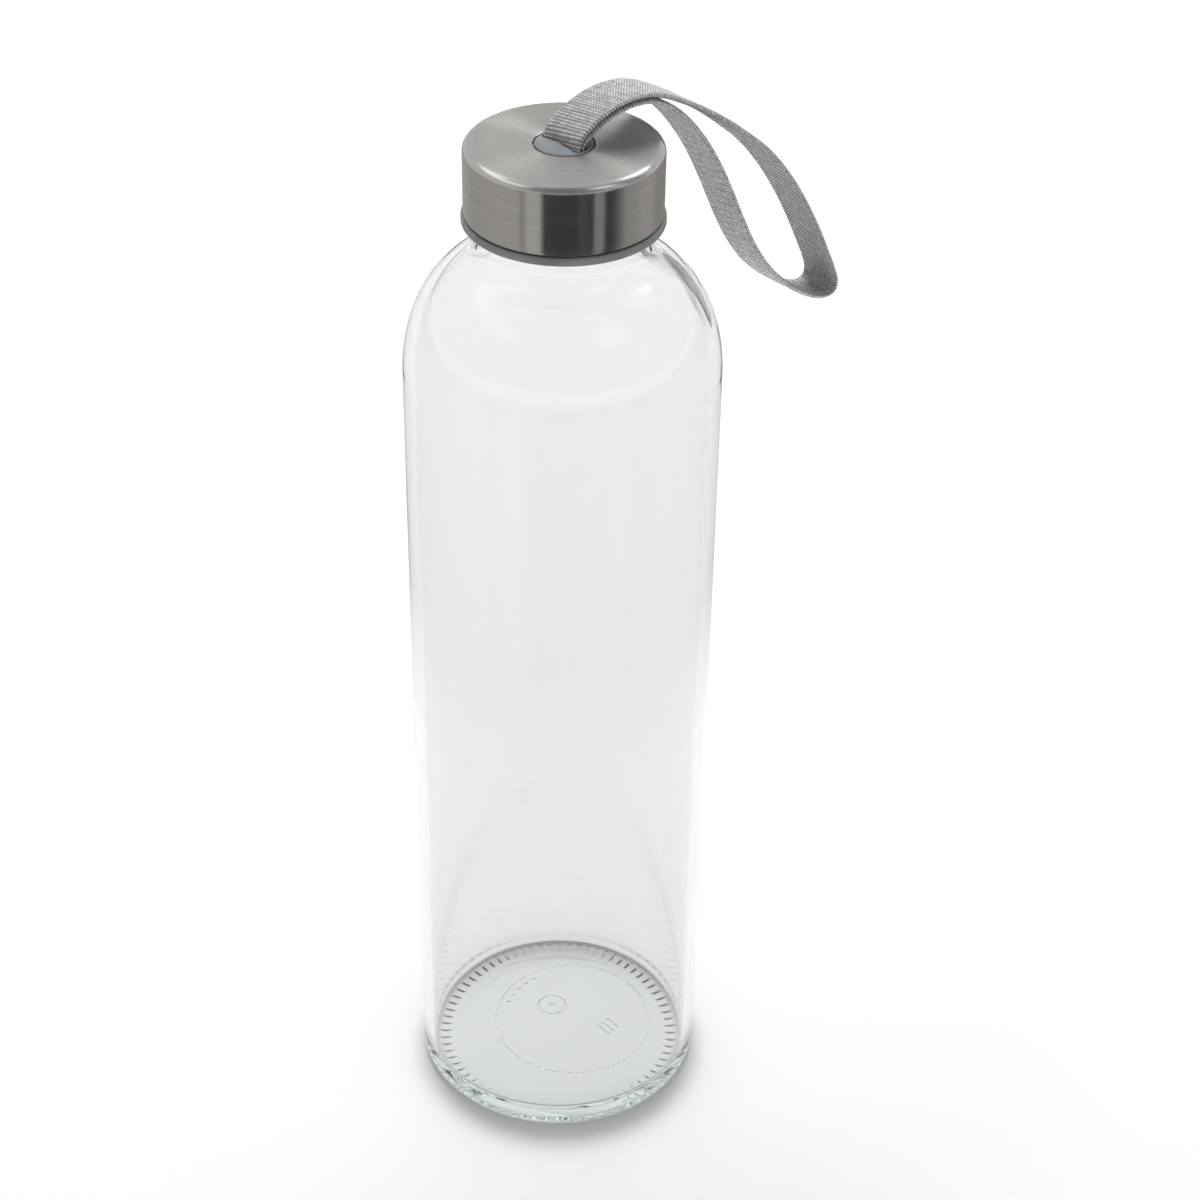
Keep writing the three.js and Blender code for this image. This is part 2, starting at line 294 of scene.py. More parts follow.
# Handling marks: faint smudges, and short stray scratches in all directions.
handlingMarks, marksIn, marksOut = newGroup(
    "handlingMarks",
    [("Vector", "NodeSocketVector", None), ("Smudge", "NodeSocketFloat", 0.12),
     ("Scratch", "NodeSocketFloat", 0.4)],
    [("Smudges", "NodeSocketFloat"), ("Scratches", "NodeSocketFloat")])
marksScale = addNode(handlingMarks, "ShaderNodeVectorMath", operation="SCALE")
marksScale.inputs["Scale"].default_value = toMillimetres
link(handlingMarks, marksIn.outputs["Vector"], marksScale.inputs[0])
marksSmudge = addNode(handlingMarks, "ShaderNodeTexNoise")
setInputs(marksSmudge, Detail=3, Roughness=0.55, Distortion=0.8)
link(handlingMarks, marksScale.outputs[0], marksSmudge.inputs["Vector"])
link(handlingMarks, marksIn.outputs["Smudge"], marksSmudge.inputs["Scale"])
link(handlingMarks, rangeNode(handlingMarks, marksSmudge.outputs["Fac"], 0.45, 0.75, 0, 1, True),
     marksOut.inputs["Smudges"])
marksCells = addNode(handlingMarks, "ShaderNodeTexVoronoi", feature="DISTANCE_TO_EDGE")
marksStretch = addNode(handlingMarks, "ShaderNodeMapping")
setInputs(marksStretch, Rotation=(0.5, 0.9, 0.3), Scale=(1, 0.25, 0.25))
link(handlingMarks, marksScale.outputs[0], marksStretch.inputs["Vector"])
link(handlingMarks, marksStretch.outputs[0], marksCells.inputs["Vector"])
link(handlingMarks, marksIn.outputs["Scratch"], marksCells.inputs["Scale"])
link(handlingMarks, rangeNode(handlingMarks, marksCells.outputs["Distance"], 0, 0.012, 1, 0),
     marksOut.inputs["Scratches"])
print("shared node groups built")


# Camera: looks down on the whole bottle through a long lens, with no shift
cameraSet = {
    "place": (-0.31476, -0.34957, 0.4564),
    "turn": -43.025,   # degrees about the vertical
    "down": 34.94,     # degrees below level
    "tilt": 0.988,     # degrees about its own line of sight
    "lens": 79.8,
    "sensor": 36,
    "clipStart": 0.01,
}
cameraData = bpy.data.cameras.new("studioCamera")
cameraData.lens = cameraSet["lens"]
cameraData.sensor_width = cameraSet["sensor"]
cameraData.clip_start = cameraSet["clipStart"]
camera = bpy.data.objects.new("studioCamera", cameraData)
bpy.context.scene.collection.objects.link(camera)
camera.matrix_world = (
    Matrix.Translation(cameraSet["place"])
    @ Matrix.Rotation(math.radians(cameraSet["turn"]), 4, "Z")
    @ Matrix.Rotation(math.radians(90 - cameraSet["down"]), 4, "X")
    @ Matrix.Rotation(math.radians(cameraSet["tilt"]), 4, "Z"))
bpy.context.scene.camera = camera
print("camera set")


# Strap: one band of woven webbing, up one side of the slot, round the loop and back down beside itself.
strapSet = {
    "width": 10.0,
    "halfThickness": 0.40,
    "selvedge": 0.22,       # plain edge outside the cords, each side
    "cordCount": 15,
    "cordRelief": 0.16,
    "cordCrown": 0.45,      # share of a cord's relief that stands above the middle of its face
    "floatPitch": 0.72,     # along the strap, one raised float to the next
    "floatShift": 0.13,     # how far each cord's floats lag its neighbour's, as a share of the pitch
    "floatRelief": 0.15,
    "edgeBulge": 0.03,      # the selvedge's middle beyond its two corners
    "edgeCorner": 0.45,     # height of those corners, as a share of half the thickness
    "edgeWave": 0.012,
    "bandPitch": 2.1,       # along the strap, one band of deeper floats to the next
    "bandShift": 0.12,
    "rowStep": 0.18,
    "curveSteps": 40,       # between two points of the route
    "layerSide": 0.65,      # each layer's middle from the button's axis, inside the slot
    "wrapRadius": 1.9,
    "wrapFrom": -178,       # degrees round the pin
    "wrapTo": 148,
    "wrapStep": 25,
    "pivotRise": 0.4,       # bending line above the button
    "blendHalf": 1.2,
    "blendWay": (0.79, 0, 0.62),
    "pathStep": 8,          # rows between two points of the cord's stated path
}
loopRoute = [
    (-0.1, 1.76), (3.3, 4.15), (6.9, 5.65), (10.6, 6.4), (14.4, 6.55), (18.3, 6.05), (22.6, 4.6),
    (27.6, 2.0), (33.2, -1.3), (39.7, -5.7), (46.4, -10.9), (52.6, -16.3), (58.4, -22.8), (63.6, -30.0),
    (68.5, -38.1), (72.4, -45.5), (75.3, -51.5), (76.4, -54.7), (76.0, -56.7), (73.8, -57.4), (69.8, -56.2),
    (62.8, -51.8), (55.9, -45.5), (50.6, -38.4), (46.3, -30.6), (42.3, -22.4), (38, -14.4),
    (33.2, -7.3), (28.2, -1.6), (23.2, 2.5), (18.6, 4.65), (14.5, 5.25), (10.8, 5.05), (7.4, 4.4),
    (4.1, 3.0), (0.7, 0.74),
]  # (out from the axis, up from the cap's top), millimetres


def smoothRoute(points, step):  # centripetal curve through the points, then evenly spaced
    points = [Vector(p) for p in points]
    ends = [points[0] * 2 - points[1]] + points + [points[-1] * 2 - points[-2]]
    steps, fine = strapSet["curveSteps"], []
    for p0, p1, p2, p3 in zip(ends, ends[1:], ends[2:], ends[3:]):
        t1 = (p1 - p0).length ** 0.5
        t2 = t1 + (p2 - p1).length ** 0.5
        t3 = t2 + (p3 - p2).length ** 0.5
        for i in range(steps):
            t = t1 + (t2 - t1) * i / steps
            a1 = p0.lerp(p1, t / t1)
            a2 = p1.lerp(p2, (t - t1) / (t2 - t1))
            a3 = p2.lerp(p3, (t - t2) / (t3 - t2))
            b1 = a1.lerp(a2, t / t2)
            b2 = a2.lerp(a3, (t - t1) / (t3 - t1))
            fine.append(b1.lerp(b2, (t - t1) / (t2 - t1)))
    fine.append(points[-1])
    along = [0]
    for a, b in zip(fine, fine[1:]):
        along.append(along[-1] + (b - a).length)
    count = round(along[-1] / step)
    even, k = [], 0
    for i in range(count + 1):
        want = along[-1] * i / count
        while k < len(along) - 2 and along[k + 1] < want:
            k += 1
        even.append(fine[k].lerp(fine[k + 1], (want - along[k]) / max(along[k + 1] - along[k], 1e-9)))
    return even, along[-1]


def strapRoute():
    size = strapSet
    side, wrap = size["layerSide"], size["wrapRadius"]
    pinZ = (pinLow.z + pinHigh.z) / 2 / mm
    top = capTop / mm
    # one end goes all the way round the pin, and the other is sewn on just above it
    turns = [math.radians(a) for a in range(size["wrapFrom"], size["wrapTo"], size["wrapStep"])]
    wrapped = [(-wrap * math.sin(a), pinZ - wrap * math.cos(a)) for a in turns]
    free = [(x, top + z) for x, z in loopRoute]
    neckIn = [(-side - 0.1, pinZ + wrap + 0.9), (-side, top - 1.4), (-side, top - 0.3)]
    neckOut = [(side, top - 0.9), (side, top - 2.0), (side, pinZ + wrap + 1.9)]
    return wrapped + neckIn + free + neckOut


def webbingMesh(name, route):
    size = strapSet
    rows, length = smoothRoute(route, size["rowStep"])
    cords, half = size["cordCount"], size["width"] / 2
    band = half - size["selvedge"]
    corner, bulge, last = size["edgeCorner"], half + size["edgeBulge"], cords - 1
    upper, lower = ([(-band + band * k / cords, side, min(k // 2, last), k % 2) for k in range(2 * cords + 1)]
                    for side in (1, -1))
    # (across, side, cord, height share): two points to a cord on each face, three at each selvedge
    columns = [(-half, corner, 0, 0)] + upper + [(half, corner, last, 0), (bulge, 0, last, 0)]
    columns += [(half, -corner, last, 0)] + lower[::-1] + [(-half, -corner, 0, 0), (-bulge, 0, 0, 0)]
    crown = size["cordCrown"]
    verts, uvs = [], []
    step = length / (len(rows) - 1)
    for i, place in enumerate(rows):
        before, after = rows[max(i - 1, 0)], rows[min(i + 1, len(rows) - 1)]
        tangent = (after - before).normalized()
        normal = Vector((-tangent.y, tangent.x))
        s = i * step
        for across, side, cord, share in columns:
            if abs(side) == 1:
                phase = s / size["floatPitch"] + cord * size["floatShift"] + (0.5 if side < 0 else 0)
                lift = size["floatRelief"] * math.sin(math.pi * phase) ** 2
                raised = share * (crown * size["cordRelief"] + lift)
                sunk = (1 - share) * (1 - crown) * size["cordRelief"]
                out = side * (size["halfThickness"] + raised - sunk)
            else:
                out = side * size["halfThickness"]
                across *= 1 + size["edgeWave"] * math.sin(math.tau * s / size["floatPitch"])
            point = place + normal * out
            verts.append((point.x * mm, across * mm, point.y * mm))
            uvs.append((across / size["width"] + 0.5, s / size["width"]))
    n = len(columns)
    faces = [(i * n + j, i * n + (j + 1) % n, (i + 1) * n + (j + 1) % n, (i + 1) * n + j)
             for i in range(len(rows) - 1) for j in range(n)]
    faces += [tuple(range(n))[::-1], tuple((len(rows) - 1) * n + j for j in range(n))]
    mesh = bpy.data.meshes.new(name)
    mesh.from_pydata(verts, [], faces)
    layer = mesh.uv_layers.new(name="weaveMap")
    for loop in mesh.loops:
        layer.data[loop.index].uv = uvs[loop.vertex_index]
    piece = bpy.data.objects.new(name, mesh)
    bpy.context.scene.collection.objects.link(piece)
    pick(piece)
    bpy.ops.object.mode_set(mode="EDIT")
    bpy.ops.mesh.select_all(action="SELECT")
    bpy.ops.mesh.normals_make_consistent(inside=False)
    bpy.ops.object.mode_set(mode="OBJECT")
    return piece, rows, length


# The dark gap colour is painted shade for the recesses between cords and floats, and the dark streak colour
# is painted shade in long streaks along the cords; the light yarn colour is the webbing's own.
webbingLook = {
    "gap": (0.13, 0.133, 0.137, 1), "yarn": (0.98, 0.985, 0.99, 1), "streakShade": (0.2, 0.204, 0.21, 1),
    "streakShadeShare": 0.45, "bandShade": 0.6, "bumpDepth": 0.0001, "gloss": (0.28, 0.5),
    "yarnScale": (14, 1.1), "patchScale": (1.4, 0.35),  # across and along, per millimetre
}


def webbingMaterial():
    size, look = strapSet, webbingLook
    material, tree, shader = shadedMaterial("webbing")
    setInputs(shader, Sheen_Weight=0.2, Sheen_Roughness=0.4, Specular_IOR_Level=0.6)
    place = addNode(tree, "ShaderNodeUVMap", uv_map="weaveMap")
    split = addNode(tree, "ShaderNodeSeparateXYZ")
    link(tree, place.outputs[0], split.inputs[0])
    across = mathNode(tree, "MULTIPLY", split.outputs["X"], size["width"])  # millimetres, as is along
    along = mathNode(tree, "MULTIPLY", split.outputs["Y"], size["width"])
    cord = mathNode(tree, "MULTIPLY", mathNode(tree, "SUBTRACT", across, size["selvedge"]),
                    size["cordCount"] / (size["width"] - 2 * size["selvedge"]))
    inCord = mathNode(tree, "FRACT", cord)
    number = mathNode(tree, "FLOOR", cord)
    roundTop = mathNode(tree, "SINE", mathNode(tree, "MULTIPLY", inCord, math.pi))
    phase = mathNode(tree, "ADD", mathNode(tree, "DIVIDE", along, size["floatPitch"]),
                     mathNode(tree, "MULTIPLY", number, size["floatShift"]))
    floatTop = mathNode(tree, "SINE", mathNode(tree, "MULTIPLY", phase, math.pi))
    floatTop = mathNode(tree, "ABSOLUTE", floatTop)
    roundTop = mathNode(tree, "POWER", mathNode(tree, "MAXIMUM", roundTop, 0.001), 0.5)
    body = mathNode(tree, "MULTIPLY", roundTop, floatTop)
    # every few rows, a narrow band of painted shade darkens the floats as if they lay deeper; the bands climb
    # across the strap
    slant = mathNode(tree, "ADD", mathNode(tree, "DIVIDE", along, size["bandPitch"]),
                     mathNode(tree, "MULTIPLY", across, size["bandShift"]))
    bandWave = mathNode(tree, "SINE", mathNode(tree, "MULTIPLY", slant, math.pi))
    paintedBandShade = rangeNode(tree, mathNode(tree, "ABSOLUTE", bandWave), 0.05, 0.5, look["bandShade"], 1.0, True)
    yarnLines = stretchedNoise(tree, across, along, look["yarnScale"], 2, 0.55)
    patches = stretchedNoise(tree, across, along, look["patchScale"], 3, 0.6)
    # painted shade: colour runs from the yarn's own near-white on the float tops to the dark gap colour down
    # in the recesses
    paintedWeaveShade = mathNode(tree, "ADD", mathNode(tree, "POWER", body, 1.7),
                     mathNode(tree, "MULTIPLY", yarnLines, 0.2))
    paintedWeaveShade = mathNode(tree, "MULTIPLY", paintedWeaveShade, paintedBandShade)
    base = mixColour(tree, paintedWeaveShade, look["gap"], look["yarn"])
    # painted shade: long dark streaks along the cords, laid over the weave
    paintedShadeStreaks = rangeNode(tree, patches, 0.42, 0.62, 0.0, look["streakShadeShare"], True)
    base = mixColour(tree, paintedShadeStreaks, base, look["streakShade"])
    link(tree, base, shader.inputs["Base Color"])
    height = mathNode(tree, "ADD", body, mathNode(tree, "MULTIPLY", yarnLines, 0.3))
    addBump(tree, shader, height, 0.7, look["bumpDepth"])
    link(tree, rangeNode(tree, yarnLines, 0.3, 0.7, *look["gloss"]), shader.inputs["Roughness"])
    return material


strap, strapRows, strapLength = webbingMesh("strapWebbing", strapRoute())
smoothShade(strap, 70)
setOn(strap, webbingMaterial(), None, "webbing", "strap_root", "strap_loop")
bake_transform(strap)
print("strap woven, length", round(strapLength, 1), "mm")


# The screw thread, the same on the neck and in the cap
threadSet = {"pitch": 4.5, "turns": 1.25, "height": 1.3, "runIn": 50, "root": 2.3, "crest": 1.0, "end": 0.12}


def threadWeight(x, y, z, startZ, startAngle):
    size = threadSet
    turn = (math.atan2(y, x) - startAngle) / math.tau % 1
    z /= mm
    flank = (size["root"] - size["crest"]) / 2
    best = 0
    while turn <= size["turns"]:
        fromEnd = min(turn, size["turns"] - turn) * 360 / size["runIn"]
        taper = size["end"] + (1 - size["end"]) * ease(fromEnd, 0, 1)
        off = abs(z - startZ - turn * size["pitch"]) / taper
        best = max(best, taper * min(max((size["root"] / 2 - off) / flank, 0), 1))
        turn += 1
    return best


# Glass bottle
glassSet = {
    "bodyRadius": 32.5, "sideHeight": 185.5, "shoulderRise": 26.3, "shoulderReach": 19.1, "shoulderEnd": 70,
    "wall": 2.4, "neckRadius": 16.0, "lipRadius": 0.8,
    "pushUp": 1.4, "floor": 4.6, "heelRadius": 3.0, "ringInner": 25.9, "domeEdge": 22.3, "innerCorner": 2.5,
    "steps": 288, "fineRow": 0.35,
    "ribCount": 72, "ribDepth": 0.4, "ribInner": 25.8, "ribOuter": 29.4,
    "threadStart": 221.06, "threadZone": 218,
    "markHeight": 0.3, "markTop": 2.4, "markReach": 25.5, "partingRadius": 18.6, "partingPlace": (4.2, -0.6),
    "ringPlace": (3.2, 5.8), "ringRadius": 3.2, "barPlace": (8.4, -8.6), "barGap": 1.6, "barHalf": 1.9,
    "dotCircle": 16.6, "dotFrom": 84, "dotStep": 9, "dotCount": 5,
    "wallWave": 0.10, "waveReach": 30.6, "waveTop": (200, 215), "waveNeck": 18,
    "floorRipple": 0.22, "rippleFade": (18, 27),
}


def shoulderPoints(inset, steps):
    size = glassSet
    points = []
    for i in range(steps + 1):
        angle = math.radians(size["shoulderEnd"] * i / steps)
        across, up = size["shoulderReach"] * math.sin(angle), size["shoulderRise"] * math.cos(angle)
        far = math.hypot(across, up)
        r = size["bodyRadius"] - size["shoulderReach"] * (1 - math.cos(angle)) - inset * up / far
        z = size["sideHeight"] + size["shoulderRise"] * math.sin(angle) - inset * across / far
        points.append((r, z))
    return points, (up / far, across / far)


def bottleOutline():
    size = glassSet
    rim = rimZ / mm
    fine = size["fineRow"]
    outerShoulder, (nr, nz) = shoulderPoints(0, 28)
    innerShoulder, _ = shoulderPoints(size["wall"], 28)
    endR, endZ = outerShoulder[-1]
    fillet = (endR - size["neckRadius"]) / (1 - nr)
    filletR, filletZ = size["neckRadius"] + fillet, endZ + fillet * nz
    filletAngle = math.degrees(math.atan2(nz, nr))
    heelR = size["bodyRadius"] - size["heelRadius"]
    lip = size["lipRadius"]
    innerWall = size["bodyRadius"] - size["wall"]
    innerNeck = size["neckRadius"] - size["wall"]
    outline = [(0, size["pushUp"])]
    outline += linePoints(outline[-1], (size["domeEdge"] * 0.6, size["pushUp"] * 0.8), fine)
    outline += linePoints(outline[-1], (size["domeEdge"], size["pushUp"] * 0.4), fine)
    outline += linePoints(outline[-1], (size["ringInner"], 0), 0.3)
    outline += linePoints(outline[-1], (heelR, 0), fine)
    outline += arcPoints(heelR, size["heelRadius"], size["heelRadius"], -90, 0, 16)[1:]
    outline += linePoints(outline[-1], outerShoulder[0], 12)
    outline += outerShoulder[1:]
    outline += arcPoints(filletR, filletZ, fillet, 180 + filletAngle, 180, 14)[1:]
    outline += linePoints(outline[-1], (size["neckRadius"], rim - lip), fine)
    outline += arcPoints(size["neckRadius"] - lip, rim - lip, lip, 0, 90, 6)[1:]
    outline += arcPoints(innerNeck + lip, rim - lip, lip, 90, 180, 6)
    outline += arcPoints(filletR, filletZ, fillet + size["wall"], 180, 180 + filletAngle, 14)
    outline += innerShoulder[::-1][1:]
    outline += linePoints(outline[-1], (innerWall, size["floor"] + size["innerCorner"]), 6)
    outline += arcPoints(innerWall - size["innerCorner"], size["floor"] + size["innerCorner"],
                         size["innerCorner"], 0, -90, 16)[1:]
    outline += linePoints(outline[-1], (0, size["floor"]), 0.8)
    return [(r * mm, z * mm) for r, z in outline]


def neckThread(x, y, z):
    r = math.hypot(x, y) / mm
    if z / mm < glassSet["threadZone"] or r < glassSet["neckRadius"] - 0.2:
        return 0
    return threadWeight(x, y, z, glassSet["threadStart"], 0)


def baseRibs(x, y, z):  # gaps between the ribs of the bearing ring, cut up into the glass
    r = math.hypot(x, y) / mm
    if z > 1.2 * mm or r < glassSet["ribInner"] - 1 or r > glassSet["ribOuter"] + 1.5:
        return 0
    turn = math.atan2(y, x) / math.tau * glassSet["ribCount"]
    gap = 0.5 - 0.5 * math.cos(math.tau * turn)
    ends = ease(r, glassSet["ribInner"] - 0.5, glassSet["ribInner"] + 0.3) * (
        1 - ease(r, glassSet["ribOuter"] - 0.4, glassSet["ribOuter"] + 0.5))
    return ease(gap, 0.25, 0.8) * ends


def baseMarks(x, y, z):  # a mould's parting ring, a ring with a dot, three bars and five dots, all plain
    size = glassSet
    x, y, z = x / mm, y / mm, z / mm
    if z > size["markTop"] or math.hypot(x, y) > size["markReach"]:
        return 0
    cx, cy = size["partingPlace"]
    line = 1 - ease(abs(math.hypot(x - cx, y - cy) - size["partingRadius"]), 0.05, 0.4)
    fromRing = math.hypot(x - size["ringPlace"][0], y - size["ringPlace"][1])
    ring = 1 - ease(abs(fromRing - size["ringRadius"]), 0.15, 0.5)
    dot = 1 - ease(fromRing, 0.6, 1.0)
    barX, barY = x - size["barPlace"][0], y - size["barPlace"][1]
    barEnd = 1 - ease(abs(barY), size["barHalf"], size["barHalf"] + 0.3)
    bars = max((1 - ease(abs(barX - shift * size["barGap"]), 0.25, 0.55)) * barEnd for shift in (-1, 0, 1))
    dots = 0
    for k in range(size["dotCount"]):
        angle = math.radians(size["dotFrom"] + size["dotStep"] * k)
        dotX = x - cx - size["dotCircle"] * math.cos(angle)
        dotY = y - cy - size["dotCircle"] * math.sin(angle)
        dots = max(dots, 1 - ease(math.hypot(dotX, dotY), 0.35, 0.7))
    return max(line * 0.8, ring, dot, bars, dots * 0.8)


def blownWaves(x, y, z):  # a blown bottle's inner wall is never quite even
    size = glassSet
    r = math.hypot(x, y) / mm
    z /= mm
    if r > size["waveReach"] or z < size["floor"] or (z > size["waveTop"][0] and r < size["waveNeck"]):
        return 0
    angle = math.atan2(y, x)
    wave = math.sin(2 * angle + 0.6 + z / 31) + 0.7 * math.sin(3 * angle - z / 17 + 2)
    wave += 0.5 * math.sin(5 * angle + z / 9)
    return (0.5 + 0.22 * wave) * ease(z, size["floor"], 12) * (1 - ease(z, *size["waveTop"]))


def floorRipples(x, y, z):  # the inner floor sets with slow ripples, which bend what it mirrors
    r = math.hypot(x, y) / mm
    if abs(z / mm - glassSet["floor"]) > 0.05 or r > glassSet["rippleFade"][1]:
        return 0
    x, y = x / mm, y / mm
    wave = math.sin(x / 2.9 + 1.3 * math.sin(y / 6.5))
    wave += 0.8 * math.sin(y / 3.7 + 1.1 * math.sin(x / 5.2) + 1)
    return (0.5 + 0.25 * wave) * (1 - ease(r, *glassSet["rippleFade"]))


glassLook = {
    "colour": (0.885, 0.892, 0.89, 1), "smudgeGloss": 0.035,
    "clear": (0.985, 0.985, 0.985, 1), "heel": (0.3, 0.305, 0.3, 1),
    "heelTop": (0.007, 0.013), "heelInside": (0.0285, 0.0315),  # metres
    "depthTint": (0.55, 0.85, 0.7, 1), "depthDensity": 5,
}


def glassMaterial():
    look = glassLook
    material, tree = newMaterial("clearGlass")
    out = addNode(tree, "ShaderNodeOutputMaterial")
    shader = addNode(tree, "ShaderNodeBsdfPrincipled")
    setInputs(shader, Base_Color=look["colour"], Roughness=0.0, IOR=1.5, Transmission_Weight=1.0)
    place = addNode(tree, "ShaderNodeTexCoord")
    marks = placeGroup(tree, handlingMarks, place.outputs["Object"], Smudge=0.05, Scratch=0.1)
    gloss = rangeNode(tree, marks.outputs["Smudges"], 0, 1, 0.0, look["smudgeGloss"])
    link(tree, gloss, shader.inputs["Roughness"])
    # Light on its way to a surface goes straight through: nearly all of it, but less in the thick outer heel.
    split = addNode(tree, "ShaderNodeSeparateXYZ")
    link(tree, place.outputs["Object"], split.inputs[0])
    flat = addNode(tree, "ShaderNodeCombineXYZ")
    link(tree, split.outputs["X"], flat.inputs["X"])
    link(tree, split.outputs["Y"], flat.inputs["Y"])
    reach = addNode(tree, "ShaderNodeVectorMath", operation="LENGTH")
    link(tree, flat.outputs[0], reach.inputs[0])
    low = rangeNode(tree, split.outputs["Z"], *look["heelTop"], 1, 0, True)
    outside = rangeNode(tree, reach.outputs["Value"], *look["heelInside"], 0, 1, True)
    clear = addNode(tree, "ShaderNodeBsdfTransparent")
    heel = mathNode(tree, "MULTIPLY", low, outside)
    link(tree, mixColour(tree, heel, look["clear"], look["heel"]), clear.inputs["Color"])
    path = addNode(tree, "ShaderNodeLightPath")
    surface = shader.outputs[0]
    for kind in ("Is Shadow Ray", "Is Diffuse Ray"):
        mix = addNode(tree, "ShaderNodeMixShader")
        link(tree, path.outputs[kind], mix.inputs[0])
        link(tree, surface, mix.inputs[1])
        link(tree, clear.outputs[0], mix.inputs[2])
        surface = mix.outputs[0]
    link(tree, surface, out.inputs["Surface"])
    depth = addNode(tree, "ShaderNodeVolumeAbsorption")
    setInputs(depth, Color=look["depthTint"], Density=look["depthDensity"])
    link(tree, depth.outputs[0], out.inputs["Volume"])
    return material


bottle = turnedPiece("glassBottle", bottleOutline(), glassSet["steps"])
pushOut(bottle, "thread", threadSet["height"] * mm, neckThread)
pushOut(bottle, "ribs", -glassSet["ribDepth"] * mm, baseRibs)
pushOut(bottle, "marks", -glassSet["markHeight"] * mm, baseMarks)
pushOut(bottle, "waves", glassSet["wallWave"] * mm, blownWaves)
pushOut(bottle, "ripples", glassSet["floorRipple"] * mm, floorRipples)
smoothShade(bottle, 40)
setOn(bottle, glassMaterial(), "bottle", "clear_glass", "glass_bottle")
print("glass bottle made")


# Cap liner: grey plastic, with its own thread and a well for the button
linerSet = {
    "flangeHeight": 1.7, "flangeRadius": 20.25, "flangeRound": 0.45, "radius": 19.0, "bore": 17.7,
    "cornerRadius": 1.3, "pocketRadius": 8.1, "wellOuter": 9.4, "wellFloor": 1.4, "wellRadius": 6.15,
    "wellDrop": 3.0, "ceiling": 1.6, "pocketDrop": 1.7,
    "threadLanding": 1.5, "threadZone": 231,
}


def linerOutline():
    size = linerSet
    low, top = linerLow.z / mm, linerHigh.z / mm
    ceiling = top - size["ceiling"]
    pocketLow = top - size["pocketDrop"]
    wellLow = (pinLow.z + pinHigh.z) / 2 / mm - size["wellDrop"]
    under = wellLow - size["wellFloor"]
    flange, edge = size["flangeRadius"], size["flangeRound"]
    outline = [(0, under)]
    outline += linePoints(outline[-1], (size["wellOuter"] - 0.5, under), 2)
    outline += arcPoints(size["wellOuter"] - 0.5, under + 0.5, 0.5, -90, 0, 4)[1:]
    outline += [(size["wellOuter"], ceiling - 0.4), (size["wellOuter"] + 0.4, ceiling)]
    outline += [(size["bore"] - 0.5, ceiling), (size["bore"], ceiling - 0.5)]
    outline += linePoints(outline[-1], (size["bore"], low + 0.4), 0.35)
    outline += [(size["bore"] + 0.4, low)]
    outline += arcPoints(flange - edge, low + edge, edge, -90, -12, 5)
    outline += arcPoints(flange - edge - 0.02, low + size["flangeHeight"] - edge, edge, 12, 90, 5)
    outline += [(size["radius"], low + size["flangeHeight"])]
    corner, pocket = size["cornerRadius"], size["pocketRadius"]
    outline += arcPoints(size["radius"] - corner, top - corner, corner, 0, 90, 8)
    outline += [(pocket + 0.2, top), (pocket, top - 0.2), (pocket, pocketLow)]
    outline += [(size["wellRadius"], pocketLow), (size["wellRadius"], wellLow), (0, wellLow)]
    return [(r * mm, z * mm) for r, z in outline]


def linerThread(x, y, z):
    size = linerSet
    r = math.hypot(x, y) / mm
    if abs(r - size["bore"]) > 0.2 or z / mm > size["threadZone"]:
        return 0
    startZ = linerLow.z / mm + size["threadLanding"]
    rise = startZ - glassSet["threadStart"] + threadSet["pitch"] / 2
    return threadWeight(x, y, z, startZ, rise / threadSet["pitch"] * math.tau)


# Cap shell: spun steel over the liner, with a rounded edge and a hemmed hole for the button
shellSet = {"radius": 19.8, "wall": 0.5, "corner": 1.6, "holeRadius": 6.15, "hemRadius": 0.18}


def shellOutline():
    size = shellSet
    low, top = shellLow.z / mm, shellHigh.z / mm
    outer, wall, hem = size["radius"], size["wall"], size["hemRadius"]
    hole, corner = size["holeRadius"], size["corner"]
    outline = [(outer - wall, low + hem)]
    outline += arcPoints(outer - hem, low + hem, hem, 270, 360, 4)
    outline += linePoints(outline[-1], (outer, top - corner), 1.0)
    outline += arcPoints(outer - corner, top - corner, corner, 0, 90, 20)[1:]
    outline += linePoints(outline[-1], (hole + hem, top), 1.2)
    outline += arcPoints(hole + hem, top - hem, hem, 90, 180, 4)[1:]
    outline += [(hole, top - wall)]
    outline += arcPoints(outer - corner, top - corner, corner - wall, 90, 0, 12)
    outline.append(outline[0])
    return [(r * mm, z * mm) for r, z in outline]


def plasticMaterial(name, colour, roughness, grain, coat=0.0):
    material, tree, shader = shadedMaterial(name)
    setInputs(shader, Roughness=roughness, Coat_Weight=coat, Coat_Roughness=0.2)
    place = addNode(tree, "ShaderNodeTexCoord").outputs["Object"]
    skin = placeGroup(tree, mouldGrain, place, Grain=grain, Patch=0.22)
    marks = placeGroup(tree, handlingMarks, place, Smudge=0.3, Scratch=0.5)
    dark = tuple(c * 0.86 for c in colour) + (1,)
    light = tuple(min(c * 1.1, 1) for c in colour) + (1,)
    base = mixColour(tree, rangeNode(tree, skin.outputs["Patches"], 0.3, 0.7, 0, 1), dark, light)
    base = mixColour(tree, mathNode(tree, "MULTIPLY", marks.outputs["Scratches"], 0.12), base,
                     tuple(min(c * 1.7, 1) for c in colour) + (1,))
    link(tree, base, shader.inputs["Base Color"])
    gloss = rangeNode(tree, skin.outputs["Patches"], 0.3, 0.7, roughness - 0.04, roughness + 0.05)
    gloss = mathNode(tree, "ADD", gloss, mathNode(tree, "MULTIPLY", marks.outputs["Smudges"], 0.06))
    link(tree, gloss, shader.inputs["Roughness"])
    addBump(tree, shader, skin.outputs["Height"], 0.25, 0.00004)
    return material


